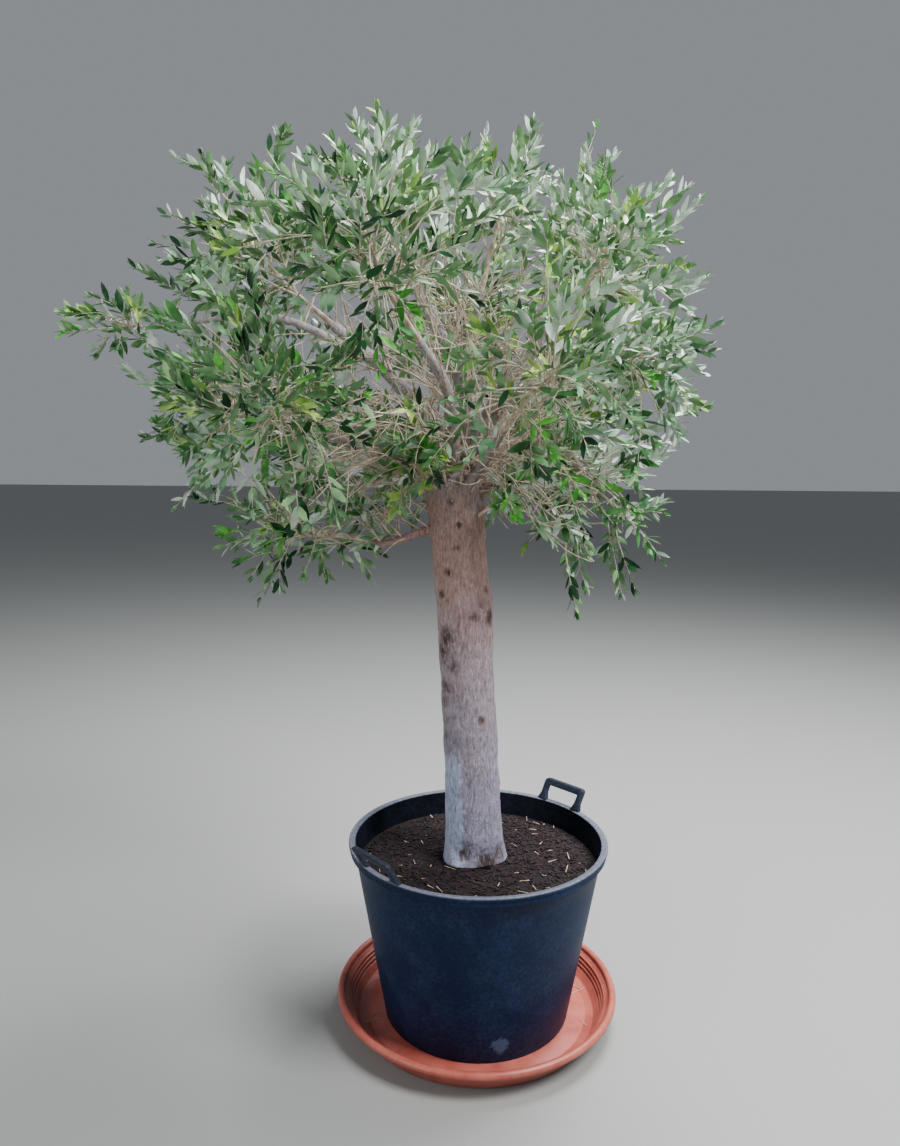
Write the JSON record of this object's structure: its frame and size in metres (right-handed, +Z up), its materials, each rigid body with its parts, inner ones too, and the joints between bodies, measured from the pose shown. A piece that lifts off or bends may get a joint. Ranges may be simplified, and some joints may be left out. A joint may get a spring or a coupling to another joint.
{
  "type": "potted olive tree",
  "caption": "Standard-trained olive tree: a short leaning trunk with a round, open, grey-green crown, in a tapered black tub with loop handles on a terracotta-coloured saucer.",
  "frame": {"origin": "centre of the saucer's flat underside, on the ground, below the middle of the pot", "axes": "+Z up, -Y towards the front of the tree, +X to the right seen from the front"},
  "size_m": [1.4316, 1.1019, 2.0587],
  "materials": {
    "pot": "black polyethylene with a faint blue sheen, dusty smudges and rain streaks",
    "saucer": "terracotta-coloured plastic, satin, a little paler where it is scuffed",
    "soil": "damp dark brown potting mulch with pale slivers of wood",
    "bark": "smooth grey-brown bark with fine cracks, redder towards the fork and blue-grey at the foot",
    "foliage": "grey-green leathery leaves with a soft sheen and silvery undersides"
  },
  "bodies": {
    "root": {"saucer": "saucer", "pot": "pot", "soil": "soil", "handle_back": "pot", "handle_front": "pot", "trunk": "bark", "centre_bough": "bark", "right_bough": "bark", "left_bough": "bark", "sawn_stub": "bark", "left_side_bough": "bark", "lower_left_bough": "bark", "lower_right_bough": "bark", "front_left_bough": "bark", "front_right_bough": "bark", "front_upper_bough": "bark", "back_upper_bough": "bark", "back_left_bough": "bark", "back_right_bough": "bark", "back_low_bough": "bark", "top_right_bough": "bark", "right_side_bough": "bark", "reaching_bough": "bark", "foliage_top": "foliage", "foliage_top_right": "foliage", "foliage_upper_right": "foliage", "foliage_right": "foliage", "foliage_lower_right": "foliage", "foliage_lower_left": "foliage", "foliage_left": "foliage", "foliage_upper_left": "foliage", "foliage_left_reach": "foliage", "foliage_front_upper": "foliage", "foliage_front_right": "foliage", "foliage_front_left": "foliage", "foliage_back_upper": "foliage", "foliage_back_right": "foliage", "foliage_back_left": "foliage", "foliage_back_low": "foliage", "foliage_inner_left": "foliage", "foliage_inner_right": "foliage"}
  },
  "joints": []
}
